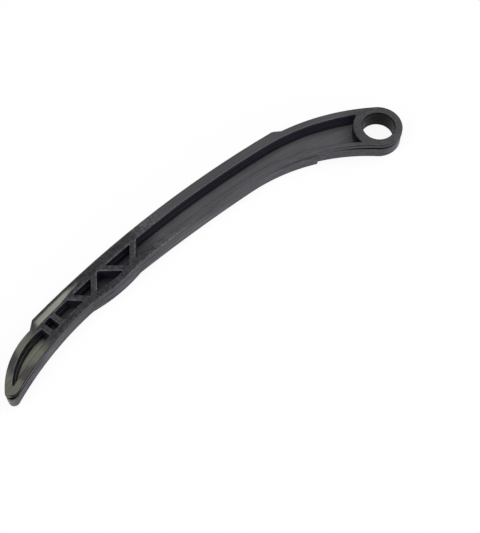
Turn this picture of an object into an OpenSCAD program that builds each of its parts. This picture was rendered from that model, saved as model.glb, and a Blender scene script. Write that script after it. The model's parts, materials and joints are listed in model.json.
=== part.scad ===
// Timing chain guide: a curved slipper arm, moulded as one piece of black plastic.
// It swings on a pivot eye, the chain runs over its convex side, and a pusher bears on its back.
// The arm lies flat on the XY plane. The pivot's axis is Z, the arm reaches along -X,
// the chain side faces +Y, and the ribbed pockets open upwards.

/* [Pivot eye] */
// Diameter of the pivot bore
bore_d = 10; // [7:0.1:11]
// Outside diameter of the eye
eye_d = 15; // [14:0.1:18]
// Thickness of the eye's wall beside the channel
eye_rail = 3; // [2:0.1:4]

/* [Arm section] */
// Thickness of the arm, across the chain
arm_t = 6; // [4:0.1:10]
// Thickness of the web that closes the pockets
web_t = 1.2; // [0.8:0.1:2.5]
// Thickness of the chain-side rail, from the running land inwards
front_rail = 3.5; // [3:0.1:4.2]
// Thickness of the rail round the nose
nose_rail = 2.2; // [1.4:0.1:3]
// Thickness of the back rail
back_rail = 2.2; // [1.2:0.1:3]
// Thickness of the back rail beside the eye
neck_rail = 1.5; // [1:0.1:2.2]
// Thickness of each rib
rib_t = 1.8; // [1:0.1:2.4]
// Radius in the corners of the pockets
pocket_r = 0.2; // [0.1:0.05:0.6]
// Width of the small step in the pockets' wall along the chain side
wall_step = 0.2; // [0.1:0.05:0.4]
// Depth of that step below the ribbed side
wall_step_t = 2.6; // [1.5:0.1:3.5]
// Thickness of the plate above the parting line, which overhangs the back and the eye
lip_t = 1.7; // [1:0.1:2.5]
// Overhang of that plate
lip_h = 0.15; // [0.05:0.05:0.4]
// Width of the groove along the parting line
groove_w = 0.4; // [0.2:0.1:0.8]
// Depth of that groove
groove_d = 0.3; // [0.1:0.1:0.5]

/* [Chain side] */
// Radius of the running land
land_r = 340; // [300:1:400]
// Distance of the land's highest point behind the pivot
land_peak_x = 49; // [44:0.5:54]
// Height of the land's highest point above the pivot's centre line
land_peak_y = 20.2; // [19.3:0.1:22]
// Distance behind the pivot at which the land is at full height, near the eye
land_start = 27.2; // [24:0.1:36]
// Distance behind the pivot at which the land leaves full height, near the tip
land_end = 121.6; // [118:0.1:123]
// Length of the ramp at each end of the land
ramp_l = 2.6; // [1:0.1:4]
// Chamfer along both edges of the land
land_edge = 0.5; // [0.2:0.1:1]
// Height of the land above the neck
eye_step = 1.2; // [0.8:0.1:1.6]
// Height of the land above the nose
tip_step = 1.9; // [1.2:0.1:2.3]
// Radius of the neck's chain side
neck_r = 70; // [66:1:76]
// Radius of the nose
nose_r = 24; // [22:0.5:26]
// Distance of the nose's centre behind the pivot
nose_x = 119.5; // [118:0.1:121]
// Radius of the tip's end
tip_r = 1.8; // [1.2:0.1:2.2]
// Radius of the tip's end above the parting line, which leaves a small ledge
ledge_r = 2.6; // [2.2:0.1:3.2]

/* [Back side] */
// Radius of the back's long curve
back_r = 500; // [450:5:600]
// Distance of the back's highest point behind the pivot
back_peak_x = 52; // [49:0.5:55]
// Height of the back's highest point above the pivot's centre line
back_peak_y = 8.9; // [8:0.1:9.8]
// Radius of the back of the neck
back_neck_r = 58; // [54:0.5:62]
// Height of the small step in the back of the neck, below the parting line
back_step = 0.8; // [0.2:0.1:1.2]
// Distance of that step behind the pivot
back_step_x = 21.3; // [16:0.1:26]
// Radius of the back near the tip
tail_r = 104; // [98:1:112]
// Distance behind the pivot at which the long curve passes into the tail
tail_x = 101; // [96:1:106]
// Radius of the pusher's pad
pad_r = 50; // [40:1:60]
// Distance of the pad's middle behind the pivot
pad_x = 96.4; // [94:0.1:98]
// Height of the pad above the back
pad_h = 1; // [0.6:0.1:1.4]

/* [Hidden] */

// Places along the arm where the zigzag ribs meet the rails, front and back by turns
zigzag_x = [-82.8, -89.6, -98.5, -104.1, -111];
// Places of the two cross ribs
cross_x = [-116.8, -121];

// Largest gap between a curve and the flats that follow it
flat_gap = 0.004;
// Length by which cuts run past what they cut
over = 1;
// Depth by which the neck's curves run into the eye, so that they cross its circle cleanly
dip = 0.02;

function unit(v) = v / norm(v);

// Point of a circle that lies towards another point
function toward(c, r, p) = c + r * unit(p - c);

// Upper point of a circle at a given x
function over_x(c, r, x) = [x, c.y + sqrt(r * r - (x - c.x) * (x - c.x))];

// Point at the distances ra and rb from a and b, left of the way from a to b for side 1
function meet(a, ra, b, rb, side) =
    let (d = norm(b - a), u = (b - a) / d, s = (ra * ra - rb * rb + d * d) / (2 * d))
    a + s * u + side * sqrt(max(0, ra * ra - s * s)) * [-u.y, u.x];

// Points from p to q along a circle about c, the short way round
function arc(c, p, q) =
    let (
        r = norm(p - c),
        start = atan2(p.y - c.y, p.x - c.x),
        turn = (atan2(q.y - c.y, q.x - c.x) - start + 540) % 360 - 180,
        n = max(1, ceil(abs(turn) / (2 * acos(1 - flat_gap / r))))
    )
    [for (i = [0:n]) c + r * [cos(start + turn * i / n), sin(start + turn * i / n)]];

// Width of the arm at its middle
arm_w = land_peak_y - back_peak_y;

// Centres of the curves: each touches the next without a corner
eye_r = eye_d / 2;
eye_c = [0, 0];
land_c = [-land_peak_x, land_peak_y - land_r];
neck_c = meet(eye_c, neck_r - eye_r + dip, land_c, land_r - eye_step - neck_r, -1);
nose_c = over_x(land_c, land_r - tip_step - nose_r, -nose_x);
back_c = [-back_peak_x, back_peak_y - back_r];
tail_c = toward(back_c, back_r - tail_r, over_x(back_c, back_r, -tail_x));
pad_c = toward(back_c, back_r - pad_h + pad_r, over_x(back_c, back_r, -pad_x));

// Centre of an end of the tip: it touches the tail, and the nose too where its radius is tip_r
function tip_c(end_r) = meet(nose_c, nose_r - tip_r, tail_c, tail_r + end_r, -1);

// Centre of the back of the neck: it touches the long back, and a given step keeps it off the eye
function back_neck_c(step) = meet(eye_c, back_neck_r + step + eye_r - dip, back_c, back_r - back_neck_r, -1);

// Chain side, from the eye to an end of the tip: the ramps run on past the land, which running_disc() trims
function chain_side(end_r) =
    let (
        eye_foot = over_x(neck_c, neck_r, ramp_l - land_start),
        tip_foot = over_x(nose_c, nose_r, -land_end - ramp_l),
        eye_ramp = 2 * over_x(land_c, land_r, -land_start) - eye_foot,
        tip_ramp = 2 * over_x(land_c, land_r, -land_end) - tip_foot
    )
    concat(
        arc(neck_c, toward(neck_c, neck_r, eye_c), eye_foot),
        arc(land_c, eye_ramp, tip_ramp),
        [tip_ramp],
        arc(nose_c, tip_foot, meet(nose_c, nose_r, tip_c(end_r), end_r, 1))
    );

// Long back of the arm with the pusher's pad, from a point near the tip to a neck, set in by a wall
function long_back(from, neck, wall) =
    let (
        pad_start = meet(tail_c, tail_r + wall, pad_c, pad_r - wall, 1),
        pad_end = meet(back_c, back_r + wall, pad_c, pad_r - wall, -1)
    )
    concat(
        arc(tail_c, from, pad_start),
        arc(pad_c, pad_start, pad_end),
        arc(back_c, pad_end, toward(back_c, back_r + wall, neck))
    );

// Back side, from an end of the tip to the eye, set in by a wall and with a step in the neck
function back_side(end_r, wall, step) =
    let (
        tip_start = meet(nose_c, nose_r - wall, tip_c(end_r), end_r - wall, 1),
        tail_start = toward(tail_c, tail_r + wall, tip_c(end_r)),
        neck = back_neck_c(step),
        low_r = back_neck_r + wall,
        high_r = low_r + step
    )
    concat(
        arc(tip_c(end_r), tip_start, tail_start),
        long_back(tail_start, neck, wall),
        arc(neck, toward(back_c, back_r + wall, neck), over_x(neck, low_r, -back_step_x)),
        arc(neck, over_x(neck, high_r, step - back_step_x), toward(neck, high_r, eye_c))
    );

// End of the tip's pocket, with a step off the chain side's wall
function pocket_end(step) = meet(nose_c, nose_r - nose_rail - step, tail_c, tail_r + back_rail, -1);

// Inner edge of the chain side's rail, from the eye to the tip, with a step off it
function front_edge(step) =
    let (
        neck_in = neck_r - front_rail + eye_step - step,
        land_in = land_r - front_rail - step,
        nose_in = nose_r - nose_rail - step,
        last = cross_x[len(cross_x) - 1]
    )
    concat(
        arc(neck_c, toward(neck_c, neck_in, eye_c), toward(land_c, land_in, neck_c)),
        arc(land_c, toward(land_c, land_in, neck_c), over_x(land_c, land_in, last)),
        arc(nose_c, over_x(nose_c, nose_in, last), pocket_end(step))
    );

// Inner edges of both rails, round the space that the pockets share
function core() =
    let (
        back_in = back_neck_r + back_rail,
        back_in_c = meet(eye_c, back_in + eye_r - neck_rail, back_c, back_r - back_neck_r, -1)
    )
    concat(
        front_edge(0),
        long_back(pocket_end(0), back_in_c, back_rail),
        arc(back_in_c, toward(back_c, back_r + back_rail, back_in_c), toward(back_in_c, back_in, eye_c))
    );

// Straight rib between two points
module rib(p, q) {
    aside = rib_t / 2 * unit([p.y - q.y, q.x - p.x]);
    polygon([p + aside, p - aside, q - aside, q + aside]);
}

// The zigzag's ribs meet in the middle of the front rail and near the back's edge
function front_middle(x) = over_x(land_c, land_r - front_rail / 2, x);
function back_foot(x) = over_x(back_c, back_r + back_rail / 6, x);
function zigzag(i) = i % 2 == 0 ? front_middle(zigzag_x[i]) : back_foot(zigzag_x[i]);

// The cross ribs stand square to the running land
module ribs() {
    for (i = [1:len(zigzag_x) - 1]) rib(zigzag(i - 1), zigzag(i));
    for (x = cross_x) rib(front_middle(x), toward(front_middle(x), arm_w, land_c));
}

module pockets() {
    offset(r = pocket_r, $fn = 24) offset(delta = -pocket_r) difference() {
        polygon(core());
        circle(r = bore_d / 2 + eye_rail, $fn = 180);
        ribs();
    }
}

// The pockets below the small step in their wall
module low_pockets() {
    intersection() {
        pockets();
        polygon(concat(front_edge(wall_step), [land_c]));
    }
}

// Outline of a layer: its back and the eye's back half are set in by a wall
module outline(end_r, wall, step) {
    polygon(concat(chain_side(end_r), back_side(end_r, wall, step), [eye_c]));
    circle(r = eye_r - wall, $fn = 180);
    intersection() {
        circle(r = eye_r, $fn = 180);
        translate([-eye_d, 0]) square([2 * eye_d, eye_d]);
    }
}

// Layer of the arm between two heights
module layer(low, high) translate([0, 0, low]) linear_extrude(high - low) children();

// Disc whose rim is the running land with its chamfered edges
module running_disc() {
    rim = land_r - land_edge - over;
    translate(land_c) rotate_extrude($fn = 720) polygon([
        [0, -over], [rim, -over],
        [land_r, land_edge], [land_r, arm_t - land_edge],
        [rim, arm_t + over], [0, arm_t + over]
    ]);
}

module guide_arm() {
    parting_z = arm_t - lip_t;
    color("#1c1d20") difference() {
        intersection() {
            union() {
                layer(0, parting_z - groove_w) outline(tip_r, lip_h, back_step);
                layer(parting_z - groove_w, parting_z) outline(tip_r, lip_h + groove_d, back_step);
                layer(parting_z, arm_t) outline(ledge_r, 0, 0);
            }
            running_disc();
        }
        layer(web_t, arm_t + over) low_pockets();
        layer(max(web_t, arm_t - wall_step_t), arm_t + over) pockets();
        translate([0, 0, -over]) cylinder(d = bore_d, h = arm_t + 2 * over, $fn = 120);
    }
}

guide_arm();
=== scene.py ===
"""Timing chain guide: the arm's finish as moulded black nylon, on a pale studio floor."""

import collections
import json
import math

import bpy
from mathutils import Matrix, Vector


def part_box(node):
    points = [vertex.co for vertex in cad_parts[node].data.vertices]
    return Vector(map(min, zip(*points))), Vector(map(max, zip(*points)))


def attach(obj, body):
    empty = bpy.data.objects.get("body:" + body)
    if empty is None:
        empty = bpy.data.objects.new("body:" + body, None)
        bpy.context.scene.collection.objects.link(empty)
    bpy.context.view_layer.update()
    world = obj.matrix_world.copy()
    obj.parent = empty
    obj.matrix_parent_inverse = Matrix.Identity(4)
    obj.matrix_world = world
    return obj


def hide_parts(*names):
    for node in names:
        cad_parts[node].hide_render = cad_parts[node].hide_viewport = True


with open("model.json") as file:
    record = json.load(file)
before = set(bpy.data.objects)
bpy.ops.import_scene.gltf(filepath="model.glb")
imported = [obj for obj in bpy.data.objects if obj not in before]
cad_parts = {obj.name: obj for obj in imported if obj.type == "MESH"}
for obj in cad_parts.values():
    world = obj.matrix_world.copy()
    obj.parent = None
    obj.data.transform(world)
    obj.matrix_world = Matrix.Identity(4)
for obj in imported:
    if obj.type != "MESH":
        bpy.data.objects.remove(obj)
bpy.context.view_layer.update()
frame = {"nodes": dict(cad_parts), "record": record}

bl_info = {
    "name": "Timing chain guide",
    "version": (1, 0, 0),
    "blender": (4, 5, 0),
    "location": "View3D > Sidebar > Chain guide",
    "description": "Finishes a moulded chain guide arm and lights it in a studio",
    "category": "Object",
}

MM = 0.001

# The solid that is dressed, and its lowest and highest corners
ARM_NODE = "guide_arm"
ARM_LOW, ARM_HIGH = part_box(ARM_NODE)
TOP_MM = ARM_HIGH.z / MM

# The running land is an arc: its highest point is a mount, and its centre lies below that by its radius
MOUNTS = {mount["name"]: mount for mount in frame["record"]["mounts"]}
LAND_RADIUS = 340 * MM
LAND_PEAK = Vector(MOUNTS["chain_land"]["pos_m"])
LAND_CENTRE = Vector((LAND_PEAK.x, LAND_PEAK.y - LAND_RADIUS, 0))

# Stretches along the land in millimetres: where each starts to show, and where it is full
TRUSS_FLOOR = (-22, -44)
TRUSS_FACES = (-28, -40)
SMALL_POCKETS = (-52, -62)
TIP_FACES = (-74, -80)
TIP_FLOOR = (-75, -77)
TIP_POCKET = (-76, -80)
TIP_END = (-93, -96)
# Ends of stretches that waver do so by up to this many millimetres, to both sides
WAVER_MM = 4

# Heights in millimetres between which the open faces and the rounded rims of the ribbed side come in
FACE_HEIGHT = (TOP_MM - 0.4, TOP_MM - 0.1)
RIM_HEIGHT = (TOP_MM - 0.4, TOP_MM - 0.3)

# Most values of a noise pattern lie between these
NOISE_SPAN = (0.3, 0.7)

# Points nearer than this are one point
WELD = 0.002 * MM
# Faces that turn less than this are one face
FLAT_TURN = math.radians(0.2)
# Edges that turn more than this are rounded, in this many steps
SHARP_TURN = math.radians(32)
ROUND_STEPS = 3
# Edges that turn less than this are shaded smooth
SMOOTH_TURN = math.radians(35)

# Gap under the arm that keeps the floor from showing through its plain side
FLOOR_GAP = 0.02 * MM
# Share of plain white in the floor's look, which keeps the arm's shadow faint
FLOOR_GLOW = 0.88

# Softboxes: azimuth and elevation in degrees, and width
SOFTBOXES = {
    "right": (-8, 45, 640 * MM),
    "left": (180, 45, 600 * MM),
    "top": (0, 90, 770 * MM),
    "front": (268, 17, 570 * MM),
}

# Sockets with a point's place on the arm: in millimetres along the running land (below zero towards the tip),
# the same but wavering, below the land, above the plain side and from the pivot, then its normal's Y and Z
Spot = collections.namedtuple("Spot", "along wavy depth height pivot aside up")


def linear(code):
    """Linear colour of an sRGB hex value"""
    parts = [int(code[i:i + 2], 16) / 255 for i in (1, 3, 5)]
    return [part / 12.92 if part <= 0.04045 else ((part + 0.055) / 1.055) ** 2.4 for part in parts]


def length(name, description, size_mm):
    """Property for a length, given in millimetres"""
    return bpy.props.FloatProperty(
        name=name, description=description, default=size_mm * MM, min=0, unit="LENGTH", precision=5)


def colour(name, description, code):
    """Property for a colour, given as an sRGB hex value"""
    return bpy.props.FloatVectorProperty(
        name=name, description=description, default=linear(code), min=0, max=1, size=3, subtype="COLOR")


def power(name, description, watts):
    """Property for a lamp's power"""
    return bpy.props.FloatProperty(name=name, description=description, default=watts, min=0, unit="POWER")


class MouldedArmSettings(bpy.types.PropertyGroup):
    """Edges and finish of the moulded arm"""

    rim_round: length("Rim rounding", "Rounding along the ribbed side's rims", 0.35)
    plain_round: length("Plain side rounding", "Rounding along the plain side's edge", 0.1)
    # Painted shade: the walls are painted a darker bluish black than the open faces that face up
    shaded_wall_nylon: colour("Wall", "Colour of the walls, which stay clean", "#1f1e2d")
    face_nylon: colour("Face", "Colour of the faces that lie open and get handled", "#3d3c40")
    eye_nylon: colour("Eye", "Colour of the eye's open face", "#302f33")
    rib_nylon: colour("Rib", "Colour of the ribs' open faces", "#28282c")
    rail_nylon: colour("Rail", "Colour along the rails beside the ribs", "#18181c")
    # Painted light: a pale olive painted highlight towards the tip, also painted over shaded ledges to
    # lighten them
    painted_light_nylon: colour("Tip", "Colour of the open faces towards the tip", "#5a5a51")
    stain_nylon: colour("Stain", "Colour of the stain across the nose", "#353230")
    # Painted light: the channel's floor is painted lighter than the open faces, against its shade
    channel_floor: colour("Channel floor", "Colour of the channel's floor", "#474649")
    # Painted shade: the pockets' floor among the ribs is painted darker
    shaded_truss_floor: colour("Truss floor", "Colour of the pockets' floor among the ribs", "#191824")
    # Painted highlight: the tip pocket's floor is painted a pale olive
    tip_floor_highlight: colour("Tip floor", "Colour of the tip pocket's floor", "#848577")
    # Painted highlight: the rims among the ribs are painted lighter
    rim_highlight_nylon: colour("Worn rim", "Colour of the worn rims among the ribs", "#4a4a4e")
    # Painted highlight: a pale strip along the chain-side rail
    strip_highlight_nylon: colour("Rubbed strip", "Colour where the chain-side rail was rubbed", "#82847b")
    # Painted shade: near black where shadow is painted along the parting line and shade in the darkest
    # hollows
    painted_shade_nylon: colour("Dark line", "Colour of the parting line and of other dark places", "#070707")
    grain: length("Grain", "Width of the mould's fine grain", 0.5)
    grain_depth: length("Grain depth", "Depth of the mould's fine grain", 0.04)
    mottle: length("Mottle", "Width of the mottles on the open faces", 0.9)
    streak_width: length("Streak width", "Width of the flow streaks along the arm", 0.6)
    streak_length: length("Streak length", "Length of the flow streaks along the arm", 30)
    streak_depth: length("Streak depth", "Depth of the flow streaks along the arm", 0.03)
    cloud: length("Cloud", "Width of the clouds in the colour", 9)


class StudioSettings(bpy.types.PropertyGroup):
    """Floor, light and camera of the studio"""

    floor: colour("Floor", "Colour of the floor", "#f8f8f8")
    floor_size: length("Floor size", "Width of the square floor", 6000)
    target: bpy.props.FloatVectorProperty(
        name="Target", description="Point at the middle of the picture",
        default=(-63.24 * MM, -9.21 * MM, 0.4 * MM), subtype="TRANSLATION", unit="LENGTH", precision=5)
    azimuth: bpy.props.FloatProperty(
        name="Azimuth", description="Turn of the camera round the arm",
        default=math.radians(-39.32), subtype="ANGLE")
    elevation: bpy.props.FloatProperty(
        name="Elevation", description="Height of the camera above the floor",
        default=math.radians(60.1), subtype="ANGLE")
    distance: length("Distance", "Distance of the camera from the target", 354.2)
    lens: bpy.props.FloatProperty(
        name="Lens", description="Focal length on a 36 mm sensor", default=81.05, min=1, unit="CAMERA")
    softbox_distance: length("Softbox distance", "Distance of the softboxes from the arm", 1000)
    right_power: power("Right power", "Power of the softbox beyond the eye", 4.2)
    left_power: power("Left power", "Power of the softbox beyond the tip", 3.8)
    top_power: power("Top power", "Power of the softbox above", 2.8)
    front_power: power("Front power", "Power of the low softbox in front of the back side", 3)
    world: bpy.props.FloatProperty(
        name="Surroundings", description="Brightness of the dim surroundings", default=0.25, min=0)


def add_node(tree, kind, inputs=None, **settings):
    """Adds a node with its settings: an input's value is a number, a colour or the socket that feeds it"""
    node = tree.nodes.new(kind)
    for name, value in settings.items():
        setattr(node, name, value)
    for name, value in (inputs or {}).items():
        if isinstance(value, bpy.types.NodeSocket):
            tree.links.new(value, node.inputs[name])
        else:
            node.inputs[name].default_value = value
    return node


def new_material(name):
    """Material without any nodes yet, and its node tree"""
    material = bpy.data.materials.new(name)
    material.use_nodes = True
    material.node_tree.nodes.clear()
    return material, material.node_tree


def graded(tree, amount, *steps):
    """Socket with an amount that several values grade smoothly: each step is a value, its start and end, and
    the factors at both, which are zero and one if they aren't given"""
    for value, start, end, *factors in steps:
        low, high = factors or (0, 1)
        factor = add_node(tree, "ShaderNodeMapRange", {
            "Value": value, "From Min": start, "From Max": end, "To Min": low, "To Max": high},
            interpolation_type="SMOOTHSTEP")
        amount = add_node(tree, "ShaderNodeMath", {
            0: factor.outputs["Result"], 1: amount}, operation="MULTIPLY").outputs[0]
    return amount


def coated(tree, base, coats):
    """Socket with a base colour under several coats: each is a colour, its strength and its zone's steps"""
    for paint, strength, zone in coats:
        base = add_node(tree, "ShaderNodeMix", {
            "Factor": graded(tree, strength, *zone), "A": base, "B": (*paint, 1)},
            data_type="RGBA").outputs["Result"]
    return base


def from_axis(tree, vector):
    """Socket with the distance of a vector's end from the Z axis"""
    flat = add_node(tree, "ShaderNodeVectorMath", {0: vector, 1: (1, 1, 0)}, operation="MULTIPLY")
    return add_node(tree, "ShaderNodeVectorMath", {0: flat.outputs[0]}, operation="LENGTH").outputs["Value"]


def find_spot(tree, coordinates, clouds):
    """Place of a point on the arm, in millimetres"""
    place = add_node(tree, "ShaderNodeVectorMath", {
        0: coordinates.outputs["Object"], "Scale": 1 / MM}, operation="SCALE").outputs[0]
    centred = add_node(tree, "ShaderNodeVectorMath", {
        0: place, 1: LAND_CENTRE / MM}, operation="SUBTRACT").outputs[0]
    axes = add_node(tree, "ShaderNodeSeparateXYZ", {0: centred})
    turn = add_node(tree, "ShaderNodeMath", {
        0: axes.outputs["X"], 1: axes.outputs["Y"]}, operation="ARCTAN2")
    along = add_node(tree, "ShaderNodeMath", {
        0: turn.outputs[0], 1: LAND_RADIUS / MM}, operation="MULTIPLY").outputs[0]
    depth = add_node(tree, "ShaderNodeMath", {
        0: LAND_RADIUS / MM, 1: from_axis(tree, centred)}, operation="SUBTRACT").outputs[0]
    sway = add_node(tree, "ShaderNodeMath", {
        0: clouds, 1: 2 * WAVER_MM, 2: -WAVER_MM}, operation="MULTIPLY_ADD")
    wavy = add_node(tree, "ShaderNodeMath", {0: along, 1: sway.outputs[0]}, operation="ADD").outputs[0]
    normal = add_node(tree, "ShaderNodeSeparateXYZ", {0: coordinates.outputs["Normal"]})
    return Spot(along, wavy, depth, axes.outputs["Z"], from_axis(tree, place),
                normal.outputs["Y"], normal.outputs["Z"])


def highlight_strip_zone(tree, spot, top):
    """Zone of the painted highlight in a strip on the chain-side rail, which narrows away from the tip"""
    taper = graded(tree, 1, (spot.wavy, -66, -57, 3.1, 2.4))
    inner = add_node(tree, "ShaderNodeMath", {0: taper, 1: spot.depth}, operation="SUBTRACT").outputs[0]
    return [top, (inner, 0, 0.4), (spot.depth, 0.8, 1.6), (spot.wavy, -76, -73), (spot.wavy, -55, -62)]


def nylon_coats(settings, spot, top, strip):
    """Coats over the walls' colour, which is painted shade, from the first to the last"""
    level = (spot.up, 0.4, 0.9)
    floor = [level, (spot.height, 2.4, 2)]
    ledge = [level, (spot.height, 3, 3.2), (spot.height, 5, 4.8)]
    face = [level, top]
    truss = [*face, (spot.wavy, *TRUSS_FACES)]
    chain_rail = [*truss, (spot.depth, 0.8, 1.2), (spot.depth, 3, 2.6)]
    back_rail = [*truss, (spot.depth, 7.3, 8)]
    stain = [*face, (spot.wavy, -91, -88), (spot.wavy, -82, -85)]
    rim = [(spot.up, 0.1, 0.2), (spot.up, 0.98, 0.88), (spot.height, *RIM_HEIGHT)]
    truss_rim_highlight = [*rim, (spot.depth, 0.7, 1), (spot.along, -80, -72), (spot.along, -16, -24)]
    return [
        # Painted light: a painted highlight on the tip's end, and the shaded ledges outside and in the tip's
        # pocket painted lighter
        (settings.painted_light_nylon, 1, [(spot.along, *TIP_END)]),
        (settings.painted_light_nylon, 1, [*ledge, (spot.depth, 9.5, 10)]),
        (settings.painted_light_nylon, 0.6, [*ledge, (spot.along, *TIP_POCKET)]),
        # Pockets' floors: the channel's painted lighter against its shade, those among the ribs painted
        # darker as shade, and the tip pocket's as a painted highlight
        (settings.channel_floor, 1, floor),
        (settings.shaded_truss_floor, 1, [*floor, (spot.wavy, *TRUSS_FLOOR)]),
        (settings.channel_floor, 0.3, [*floor, (spot.along, *SMALL_POCKETS)]),
        (settings.tip_floor_highlight, 1, [*floor, (spot.wavy, *TIP_FLOOR)]),
        # Open faces, from the eye to the tip, with a painted highlight over those towards the tip
        (settings.face_nylon, 1, face),
        (settings.eye_nylon, 1, [*face, (spot.pivot, 12, 9)]),
        (settings.rib_nylon, 1, truss),
        (settings.rail_nylon, 1, chain_rail),
        (settings.rail_nylon, 1, back_rail),
        (settings.painted_light_nylon, 1, [*face, (spot.wavy, *TIP_FACES)]),
        (settings.stain_nylon, 1, stain),
        # Painted highlights on the rims among the ribs and along a strip on the chain-side rail
        (settings.rim_highlight_nylon, 1, truss_rim_highlight),
        (settings.strip_highlight_nylon, 1, strip),
    ]


def painted_shade_places(tree, spot, back):
    """Socket with the painted shade, near black and hardly shining: painted shadow along edge lines, and
    painted shade in the bore and on the tip pocket's wall
    """
    outside = [(spot.depth, 9.5, 10.5), (spot.pivot, 5.5, 6.5)]
    line = [*outside, (spot.height, 3.6, 3.75), (spot.height, 4.9, 4.75)]
    thin_line = [*outside, (spot.height, 3.95, 4.05), (spot.height, 4.5, 4.35)]
    rim = [*back, (spot.height, *RIM_HEIGHT), (spot.up, 0.1, 0.2), (spot.up, 0.95, 0.85)]
    corner = [
        (spot.aside, -0.3, -0.5), (spot.up, 0.6, 0.3), (spot.height, 4.2, 4.3), (spot.depth, 10.7, 11.2)]
    pocket_wall = [(spot.aside, -0.1, -0.3), (spot.up, 0.3, 0.1), (spot.depth, 9.5, 9)]
    zones = [
        # Painted shade on the back side's rim, by the eye and towards the tip
        (0.6, [*rim, (spot.along, 27, 40)]),
        (0.6, [*rim, (spot.along, -40, -60)]),
        # Painted shadow under the parting line's lip, by the eye, by the tip, round its end and, fainter,
        # beside the ribs
        (1, [*line, (spot.along, 27, 44)]),
        (1, [*line, (spot.along, -72, -84), (spot.along, -94, -92.5)]),
        (1, [*thin_line, (spot.along, -92, -93)]),
        (0.3, [*line, (spot.along, -66, -60), (spot.along, -46, -52)]),
        # Painted shade in the tip's corner on the back side, in the bore and on the tip pocket's wall
        (0.8, [*corner, (spot.along, -89, -92)]),
        (0.9, [(spot.pivot, 5.4, 5.1)]),
        (0.7, [*pocket_wall, (spot.along, *TIP_POCKET)]),
    ]
    painted_shade = 0
    for strength, zone in zones:
        painted_shade = add_node(tree, "ShaderNodeMath", {
            0: graded(tree, strength, *zone), 1: painted_shade}, operation="MAXIMUM").outputs[0]
    return painted_shade


def moulded_nylon(settings):
    """Glass-filled nylon as moulded: satin black with a fine grain and streaks along the flow.
    Open faces are grey, darker among the ribs and with a painted olive highlight at the tip; walls are
    painted a bluish black as shade."""
    material, tree = new_material("Glass_filled_nylon_moulded")
    coordinates = add_node(tree, "ShaderNodeTexCoord")
    place = coordinates.outputs["Object"]

    # Patterns, each at its real size; the grain is finer in truth and drawn as coarse as it needs to show
    grain = add_node(tree, "ShaderNodeTexNoise", {
        "Vector": place, "Scale": 1 / settings.grain, "Detail": 2}).outputs["Fac"]
    clouds = add_node(tree, "ShaderNodeTexNoise", {
        "Vector": place, "Scale": 1 / settings.cloud, "Detail": 2}).outputs["Fac"]
    mottle = add_node(tree, "ShaderNodeTexNoise", {
        "Vector": place, "Scale": 1 / settings.mottle, "Detail": 3}).outputs["Fac"]
    spot = find_spot(tree, coordinates, clouds)
    width, run = settings.streak_width / MM, settings.streak_length / MM
    drawn = add_node(tree, "ShaderNodeVectorMath", {
        0: add_node(tree, "ShaderNodeCombineXYZ", {
            "X": spot.along, "Y": spot.depth, "Z": spot.height}).outputs[0],
        1: (1 / run, 1 / width, 1 / width)}, operation="MULTIPLY")
    streaks = add_node(tree, "ShaderNodeTexNoise", {
        "Vector": drawn.outputs[0], "Scale": 1, "Detail": 3}).outputs["Fac"]

    # Colour: the walls' painted shade under their coats, then the places of painted shade and shadow
    top = (spot.height, *FACE_HEIGHT)
    back = [(spot.aside, -0.2, -0.5), (spot.depth, 7.5, 8.5)]
    strip = highlight_strip_zone(tree, spot, top)
    body = coated(tree, (*settings.shaded_wall_nylon, 1), nylon_coats(settings, spot, top, strip))
    painted_shade = painted_shade_places(tree, spot, back)
    body = add_node(tree, "ShaderNodeMix", {
        "Factor": painted_shade, "A": body, "B": (*settings.painted_shade_nylon, 1)}, data_type="RGBA").outputs["Result"]

    # Shade: it changes with the patterns, most of all among the ribs
    mottled = (mottle, 0.35, 0.65, -0.4, 0.4)
    strip_highlight = graded(tree, 1, *strip)
    speckle = add_node(tree, "ShaderNodeMath", {
        0: graded(tree, 1, mottled, top, (spot.along, -80, -70), (spot.along, -20, -30), (strip_highlight, 1, 0)),
        1: graded(tree, 0.4, mottled, top, (spot.pivot, 10, 8))}, operation="ADD").outputs[0]
    speckled = add_node(tree, "ShaderNodeMath", {0: speckle, 1: 1}, operation="ADD").outputs[0]
    shade = graded(tree, speckled, (clouds, *NOISE_SPAN, 0.9, 1.1), (streaks, *NOISE_SPAN, 0.88, 1.12))
    body = add_node(tree, "ShaderNodeHueSaturation", {"Color": body, "Value": shade}).outputs["Color"]

    # Gloss: it changes with the streaks, and the places of painted shade and the back side near the tip shine
    # less
    roughness = graded(tree, 1, (streaks, *NOISE_SPAN, 0.5, 0.36))
    lines = graded(tree, 0.4, (streaks, *NOISE_SPAN, -1, 1), *back, (spot.along, 0, -20))
    glint = add_node(tree, "ShaderNodeMath", {0: speckle, 1: 0.5, 2: lines}, operation="MULTIPLY_ADD")
    glinting = add_node(tree, "ShaderNodeMath", {0: glint.outputs[0], 1: 1}, operation="ADD").outputs[0]
    tail = graded(tree, 1, *back, (spot.along, -15, -35))
    shine = graded(
        tree, glinting, (spot.along, -20, -60, 0.5, 0.43), (tail, 0, 1, 1, 0.78), (painted_shade, 0, 1, 1, 0.1),
        (streaks, *NOISE_SPAN, 0.85, 1.15))

    # Relief: the streaks over the grain
    fine = add_node(tree, "ShaderNodeBump", {
        "Height": grain, "Strength": 0.5, "Distance": settings.grain_depth})
    relief = add_node(tree, "ShaderNodeBump", {
        "Height": streaks, "Strength": 0.3, "Distance": settings.streak_depth, "Normal": fine.outputs[0]})

    shader = add_node(tree, "ShaderNodeBsdfPrincipled", {
        "Base Color": body, "Roughness": roughness, "IOR": 1.53, "Specular IOR Level": shine,
        "Normal": relief.outputs[0]})
    add_node(tree, "ShaderNodeOutputMaterial", {"Surface": shader.outputs[0]})
    return material


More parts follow.
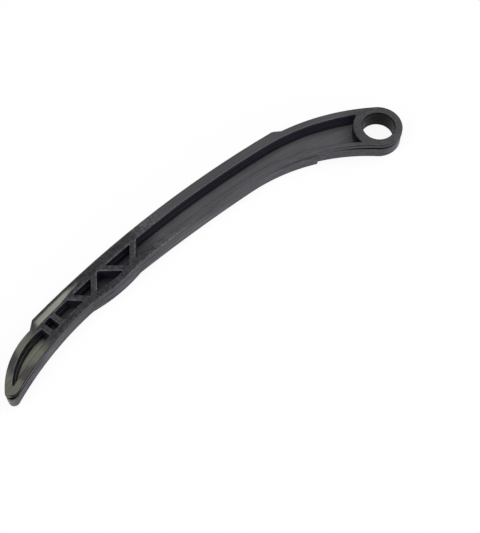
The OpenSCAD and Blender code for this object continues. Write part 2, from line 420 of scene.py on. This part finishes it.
def studio_floor(settings):
    """Matt white paper: pale for the eye, with the arm's soft shadow kept faint"""
    material, tree = new_material("Matt_white_paper")
    paper = add_node(tree, "ShaderNodeBsdfDiffuse", {"Color": (*settings.floor, 1)})
    glow = add_node(tree, "ShaderNodeEmission", {"Color": (1, 1, 1, 1), "Strength": 1})
    path = add_node(tree, "ShaderNodeLightPath")
    seen = add_node(tree, "ShaderNodeMath", {
        0: path.outputs["Is Camera Ray"], 1: path.outputs["Is Glossy Ray"]}, operation="MAXIMUM")
    shown = add_node(tree, "ShaderNodeMath", {
        0: seen.outputs[0], 1: path.outputs["Is Transmission Ray"]}, operation="MAXIMUM")
    share = add_node(tree, "ShaderNodeMath", {0: shown.outputs[0], 1: FLOOR_GLOW}, operation="MULTIPLY")
    mixed = add_node(tree, "ShaderNodeMixShader", {
        "Fac": share.outputs[0], 1: paper.outputs[0], 2: glow.outputs[0]})
    add_node(tree, "ShaderNodeOutputMaterial", {"Surface": mixed.outputs[0]})
    return material


def only_select(piece):
    """Makes a piece the only one that is selected, and the active one"""
    bpy.ops.object.select_all(action="DESELECT")
    piece.select_set(True)
    bpy.context.view_layer.objects.active = piece


def merged_copy(node, name):
    """Copy of a solid's mesh as one closed skin, with each flat stretch as one face"""
    piece = bpy.data.objects.new(name, frame["nodes"][node].data.copy())
    piece.data.name = name
    piece.data.materials.clear()
    bpy.context.collection.objects.link(piece)
    only_select(piece)
    bpy.ops.mesh.customdata_custom_splitnormals_clear()
    bpy.ops.object.mode_set(mode="EDIT")
    bpy.ops.mesh.select_all(action="SELECT")
    bpy.ops.mesh.remove_doubles(threshold=WELD)
    bpy.ops.mesh.dissolve_degenerate(threshold=WELD)
    bpy.ops.mesh.dissolve_limited(angle_limit=FLAT_TURN)
    bpy.ops.object.mode_set(mode="OBJECT")
    return piece


def mark_edges(piece, settings):
    """Gives the sharp edges of the ribbed and the plain side their share of the rounding"""
    mesh = piece.data
    turns = {}
    for face in mesh.polygons:
        for key in face.edge_keys:
            turns.setdefault(key, []).append(face.normal)
    shares = mesh.attributes.new("bevel_weight_edge", "FLOAT", "EDGE")
    for edge in mesh.edges:
        first, second = turns[edge.key]
        if first.angle(second) < SHARP_TURN:
            continue
        low, high = sorted(mesh.vertices[i].co.z for i in edge.vertices)
        if low > ARM_HIGH.z - WELD:
            shares.data[edge.index].value = 1
        elif high < ARM_LOW.z + WELD:
            shares.data[edge.index].value = settings.plain_round / settings.rim_round


class GUIDE_OT_moulded_arm(bpy.types.Operator):
    """Round the moulded arm's edges and give it its nylon"""

    bl_idname = "guide.moulded_arm"
    bl_label = "Moulded arm"

    def execute(self, context):
        settings = context.scene.moulded_arm
        arm = merged_copy(ARM_NODE, "moulded_arm")
        mark_edges(arm, settings)
        rounding = arm.modifiers.new("Rounding", "BEVEL")
        rounding.limit_method = "WEIGHT"
        rounding.width = settings.rim_round
        rounding.segments = ROUND_STEPS
        rounding.use_clamp_overlap = False
        rounding.loop_slide = False
        bpy.ops.object.modifier_apply(modifier=rounding.name)
        bpy.ops.object.shade_smooth_by_angle(angle=SMOOTH_TURN)
        flattening = arm.modifiers.new("Flat faces", "WEIGHTED_NORMAL")
        flattening.keep_sharp = True
        bpy.ops.object.modifier_apply(modifier=flattening.name)
        arm.data.materials.append(moulded_nylon(settings))
        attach(arm, "root")
        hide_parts(ARM_NODE)
        return {"FINISHED"}


class GUIDE_OT_studio(bpy.types.Operator):
    """Set up the floor, the light and the camera"""

    bl_idname = "guide.studio"
    bl_label = "Studio"

    def execute(self, context):
        settings = context.scene.studio
        context.scene.view_settings.view_transform = "Standard"
        self.add_floor(settings)
        self.add_light(context, settings)
        self.add_camera(context, settings)
        return {"FINISHED"}

    def add_floor(self, settings):
        """Adds the floor under the arm"""
        bpy.ops.mesh.primitive_plane_add(size=settings.floor_size, location=(0, 0, ARM_LOW.z - FLOOR_GAP))
        floor = bpy.context.object
        floor.name = "studio_floor"
        floor.data.materials.append(studio_floor(settings))

    def add_light(self, context, settings):
        """Adds the dim surroundings and the softboxes"""
        world = bpy.data.worlds.new("Studio")
        world.use_nodes = True
        background = world.node_tree.nodes["Background"]
        background.inputs["Color"].default_value = (1, 1, 1, 1)
        background.inputs["Strength"].default_value = settings.world
        context.scene.world = world
        for name, (azimuth, elevation, width) in SOFTBOXES.items():
            watts = getattr(settings, f"{name}_power")
            self.add_softbox(settings, f"{name}_softbox", azimuth, elevation, width, watts)

    def add_softbox(self, settings, name, azimuth, elevation, width, watts):
        """Adds a softbox that faces the middle of the picture"""
        turn, tilt = math.radians(azimuth), math.radians(elevation)
        way = Vector((math.cos(turn) * math.cos(tilt), math.sin(turn) * math.cos(tilt), math.sin(tilt)))
        bpy.ops.object.light_add(
            type="AREA", location=Vector(settings.target) + way * settings.softbox_distance,
            rotation=way.to_track_quat("Z", "Y").to_euler())
        softbox = bpy.context.object
        softbox.name = name
        softbox.data.size = width
        softbox.data.energy = watts
        softbox.visible_camera = False

    def add_camera(self, context, settings):
        """Adds the camera at the picture's viewing angle"""
        turn, rise = settings.azimuth, settings.elevation
        back = Vector((math.sin(turn) * math.cos(rise), -math.cos(turn) * math.cos(rise), math.sin(rise)))
        bpy.ops.object.camera_add(
            location=Vector(settings.target) + back * settings.distance,
            rotation=(-back).to_track_quat("-Z", "Y").to_euler())
        camera = bpy.context.object
        camera.data.lens = settings.lens
        camera.data.clip_start = settings.distance / 100
        context.scene.camera = camera


class GUIDE_PT_panel(bpy.types.Panel):
    """Sizes, colours and steps of the chain guide"""

    bl_idname = "GUIDE_PT_panel"
    bl_label = "Chain guide"
    bl_space_type = "VIEW_3D"
    bl_region_type = "UI"
    bl_category = "Chain guide"

    def draw(self, context):
        scene = context.scene
        for group, step in ((scene.moulded_arm, GUIDE_OT_moulded_arm), (scene.studio, GUIDE_OT_studio)):
            box = self.layout.box()
            for name in group.__annotations__:
                box.prop(group, name)
            box.operator(step.bl_idname)


CLASSES = (MouldedArmSettings, StudioSettings, GUIDE_OT_moulded_arm, GUIDE_OT_studio, GUIDE_PT_panel)


def register():
    for item in CLASSES:
        bpy.utils.register_class(item)
    bpy.types.Scene.moulded_arm = bpy.props.PointerProperty(type=MouldedArmSettings)
    bpy.types.Scene.studio = bpy.props.PointerProperty(type=StudioSettings)


def unregister():
    del bpy.types.Scene.studio
    del bpy.types.Scene.moulded_arm
    for item in reversed(CLASSES):
        bpy.utils.unregister_class(item)


def main():
    """Makes the arm and the studio"""
    register()
    bpy.ops.guide.moulded_arm()
    bpy.ops.guide.studio()


if __name__ == "__main__":
    main()
